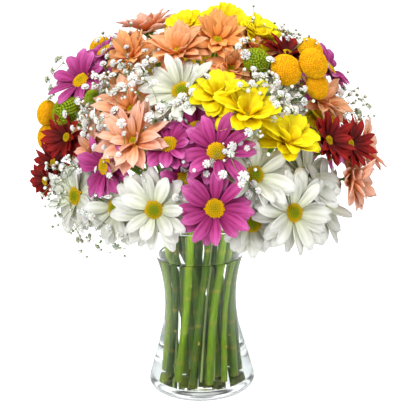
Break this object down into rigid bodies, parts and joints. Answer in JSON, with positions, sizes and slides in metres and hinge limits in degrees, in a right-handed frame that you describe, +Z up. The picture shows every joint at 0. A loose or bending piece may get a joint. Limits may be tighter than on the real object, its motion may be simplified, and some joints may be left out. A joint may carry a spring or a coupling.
{
  "type": "mixed chrysanthemum bouquet in a vase",
  "caption": "Round bouquet of daisy and button chrysanthemums with baby's breath, standing in water in a waisted clear glass vase; table decoration.",
  "frame": {"origin": "centre of the vase's foot, on the surface that it stands on", "axes": "+Z up along the vase's axis, -Y towards the viewer of the bouquet's front, +X to that viewer's right"},
  "size_m": [0.3387, 0.3338, 0.3916],
  "materials": {
    "clear_glass": "clear polished glass with a faint grey-green edge",
    "water": "clear still water",
    "stem": "fresh green plant stem, satin, with leaf scars",
    "white_petal": "soft matte white petals round a yellow-green disc",
    "magenta_petal": "soft matte magenta petals round a golden disc",
    "peach_petal": "soft matte petals, from pink at the tips to orange at the roots",
    "yellow_petal": "soft matte bright yellow petals",
    "red_petal": "velvety dark red petals",
    "yellow_button": "tight golden yellow florets",
    "green_button": "tight yellow-green florets",
    "babys_breath": "small matte white blossoms on thin green twigs"
  },
  "bodies": {
    "root": {"vase": "clear_glass", "water": "water", "stem_white_left": "stem", "stem_white_middle": "stem", "stem_white_right": "stem", "stem_white_back": "stem", "stem_magenta_left": "stem", "stem_magenta_centre": "stem", "stem_magenta_right": "stem", "stem_peach_left": "stem", "stem_peach_top": "stem", "stem_peach_right": "stem", "stem_peach_back": "stem", "stem_yellow_front": "stem", "stem_yellow_top": "stem", "stem_yellow_back": "stem", "stem_red_right": "stem", "stem_red_left": "stem", "stem_red_back": "stem", "stem_buttons_right": "stem", "stem_buttons_left": "stem", "stem_green": "stem", "babys_breath_left": "babys_breath", "babys_breath_upper_left": "babys_breath", "babys_breath_upper_right": "babys_breath", "babys_breath_right": "babys_breath", "babys_breath_front": "babys_breath", "babys_breath_back": "babys_breath", "white_daisies_left": "white_petal", "white_daisy_top": "white_petal", "white_daisies_right": "white_petal", "white_daisies_back": "white_petal", "magenta_daisies_upper_left": "magenta_petal", "magenta_daisy_left": "magenta_petal", "magenta_daisies_centre": "magenta_petal", "magenta_daisies_back": "magenta_petal", "magenta_daisy_upper_right": "magenta_petal", "peach_daisies_left": "peach_petal", "peach_daisies_top_right": "peach_petal", "peach_daisy_top": "peach_petal", "peach_daisies_top_left": "peach_petal", "peach_daisies_right": "peach_petal", "peach_daisy_upper_right": "peach_petal", "peach_daisies_back": "peach_petal", "yellow_daisies_front": "yellow_petal", "yellow_daisy_right": "yellow_petal", "yellow_daisies_top": "yellow_petal", "yellow_daisy_top_left": "yellow_petal", "yellow_daisies_back": "yellow_petal", "red_daisies_right": "red_petal", "red_daisy_top_right": "red_petal", "red_daisies_left": "red_petal", "red_daisy_low_back": "red_petal", "red_daisy_high_back": "red_petal", "yellow_buttons_right": "yellow_button", "yellow_buttons_left": "yellow_button", "yellow_button_upper_left": "yellow_button", "green_button_left": "green_button", "green_button_small": "green_button", "green_button_right": "green_button"}
  },
  "joints": []
}
